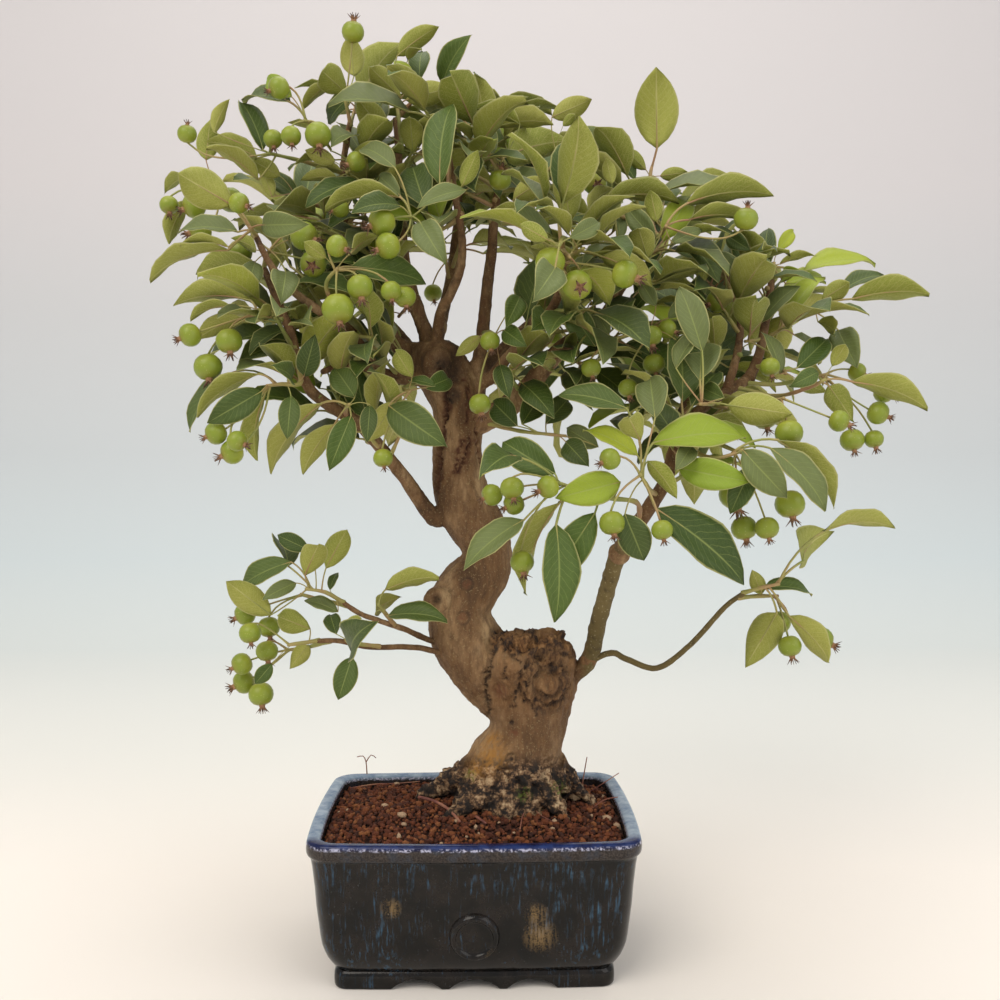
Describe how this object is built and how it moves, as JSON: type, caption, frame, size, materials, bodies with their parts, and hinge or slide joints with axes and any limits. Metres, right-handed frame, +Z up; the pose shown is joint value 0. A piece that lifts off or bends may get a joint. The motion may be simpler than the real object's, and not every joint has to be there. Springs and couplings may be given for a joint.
{
  "type": "potted crabapple bonsai",
  "caption": "Crabapple bonsai with a curved trunk on a broad stump, leafy sprays and hanging green fruit, planted in soil in a glazed rectangular pot on a scalloped foot.",
  "frame": {"origin": "middle of the whole outline, on the plane the foot stands on", "axes": "+Z up the tree, +X to the right and -Y to the front, where the round boss on the pot is"},
  "size_m": [0.4246, 0.3188, 0.5295],
  "materials": {
    "bark": "matte",
    "leaf": "satin",
    "fruit": "satin",
    "glaze": "gloss",
    "earth": "matte",
    "screen_plastic": "matte"
  },
  "bodies": {
    "root": {"drain_screen_left": "screen_plastic", "drain_screen_right": "screen_plastic", "fruits_front": "fruit", "fruits_low_left_end": "fruit", "fruits_low_left_twig": "fruit", "fruits_low_right": "fruit", "fruits_right_far": "fruit", "fruits_right_mid": "fruit", "fruits_riser_right": "fruit", "pot": "glaze", "soil": "earth", "spray_arm_left_mid": "leaf", "spray_back_left_end": "leaf", "spray_back_left_low": "leaf", "spray_back_low": "leaf", "spray_back_mid_low": "leaf", "spray_back_mid_top": "leaf", "spray_back_right_end": "leaf", "spray_back_right_low": "leaf", "spray_centre_high": "leaf", "spray_centre_left": "leaf", "spray_centre_right": "leaf", "spray_centre_shelf": "leaf", "spray_front_centre": "leaf", "spray_front_left_mid": "leaf", "spray_front_mid": "leaf", "spray_left_far": "leaf", "spray_left_front": "leaf", "spray_left_high": "leaf", "spray_left_inner": "leaf", "spray_left_mid_far": "leaf", "spray_left_mid_high": "leaf", "spray_left_mid_top": "leaf", "spray_left_mid_top_front": "leaf", "spray_left_top": "leaf", "spray_low_left_end": "leaf", "spray_low_left_inner": "leaf", "spray_low_left_shoot": "leaf", "spray_low_left_twig": "leaf", "spray_low_right": "leaf", "spray_mid_right_top": "leaf", "spray_right_crown_front": "leaf", "spray_right_far": "leaf", "spray_right_far_high": "leaf", "spray_right_inner_high": "leaf", "spray_right_low_inner": "leaf", "spray_right_mid_front": "leaf", "spray_right_stem_top": "leaf", "spray_right_top": "leaf", "spray_right_top_inner": "leaf", "spray_riser_left": "leaf", "spray_riser_right": "leaf", "spray_riser_top": "leaf", "spray_tall_shoot": "leaf", "spray_tip_left": "leaf", "spray_top_mid": "leaf", "spray_top_mid_front": "leaf", "spray_top_mid_left": "leaf", "spray_top_right_mid": "leaf", "trunk": "bark"}
  },
  "joints": []
}
